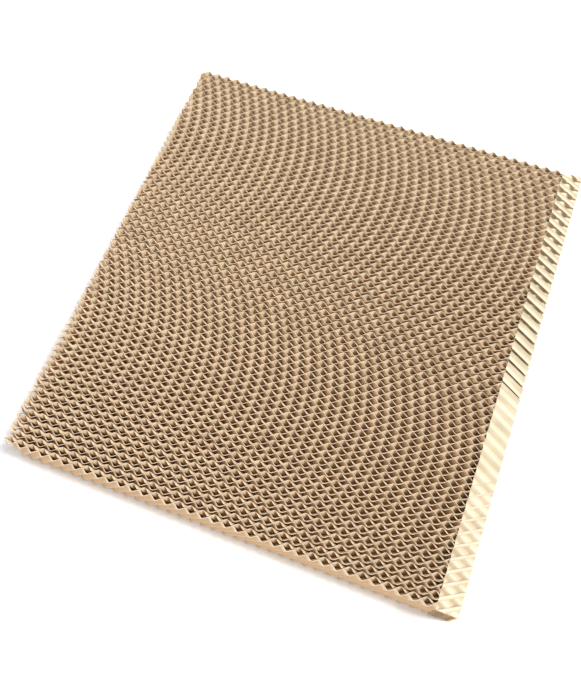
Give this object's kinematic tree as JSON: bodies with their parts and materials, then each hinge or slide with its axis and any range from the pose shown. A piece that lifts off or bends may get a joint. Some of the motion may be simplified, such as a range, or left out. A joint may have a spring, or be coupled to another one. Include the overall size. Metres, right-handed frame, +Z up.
{
  "type": "evaporative cooling pad",
  "caption": "Rectangular evaporative cooling pad: corrugated paper sheets glued crest to crest with crossing flutes, open on both air faces, with a band of flat sheets across one end.",
  "frame": {"origin": "middle of the pad's box on the floor, under its lower air face", "axes": "+X along the standing sheets towards the edge band, +Y across the stack from the front sheet to the back sheet, +Z up through the pad, the way the air flows"},
  "size_m": [0.4112, 0.441, 0.05],
  "materials": {
    "right_leaning_paper": "resin-stiffened kraft paper, matte",
    "left_leaning_paper": "resin-stiffened kraft paper, matte",
    "band_paper": "pale resin-stiffened kraft paper, matte"
  },
  "bodies": {
    "root": {"right_leaning_sheets_front": "right_leaning_paper", "left_leaning_sheets_front": "left_leaning_paper", "right_leaning_sheets_mid_front": "right_leaning_paper", "left_leaning_sheets_mid_front": "left_leaning_paper", "right_leaning_sheets_mid_back": "right_leaning_paper", "left_leaning_sheets_mid_back": "left_leaning_paper", "right_leaning_sheets_back": "right_leaning_paper", "left_leaning_sheets_back": "left_leaning_paper", "band_sheets": "band_paper", "band_strips": "band_paper"}
  },
  "joints": []
}
